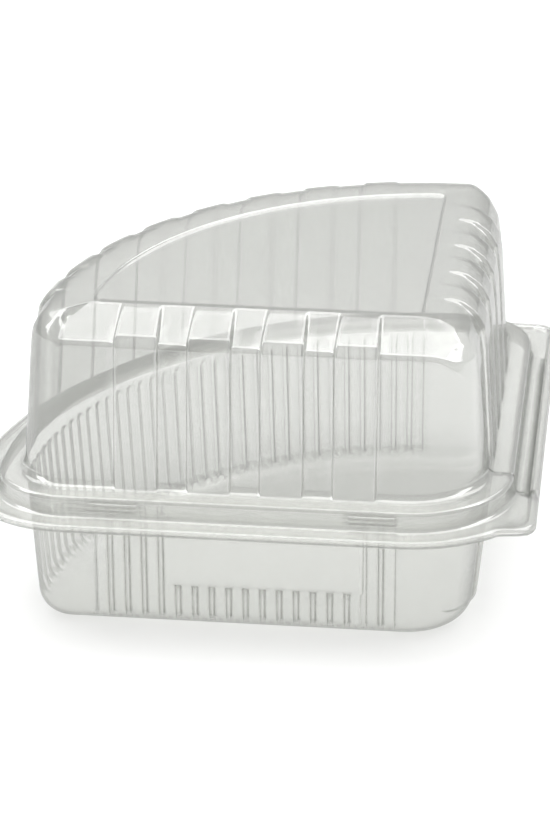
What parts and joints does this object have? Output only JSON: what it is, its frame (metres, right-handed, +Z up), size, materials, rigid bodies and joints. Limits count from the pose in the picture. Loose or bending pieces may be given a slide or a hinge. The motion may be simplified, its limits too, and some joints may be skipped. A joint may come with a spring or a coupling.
{
  "type": "hinged cake slice container",
  "caption": "Clear hinged container for a large slice of cake: a fluted wedge tray, a ribbed dome lid with an inset top, a stepped rim with snaps and a side hinge.",
  "frame": {"origin": "on the table, under the middle of the closed container's bounding box", "axes": "+Z up, -Y towards the front wall with the snaps, +X towards the hinge side"},
  "size_m": [0.1682, 0.169, 0.0989],
  "materials": {
    "clear_sheet": "glossy clear thermoformed sheet"
  },
  "bodies": {
    "tray": {"tray": "clear_sheet"},
    "lid": {"lid": "clear_sheet"}
  },
  "joints": [
    {"name": "lid_hinge", "type": "hinge", "parent": "tray", "child": "lid", "pos_m": [0.08428, 0.00424, 0.04088], "axis": [0, 1, 0], "range_deg": [0, 150]}
  ]
}
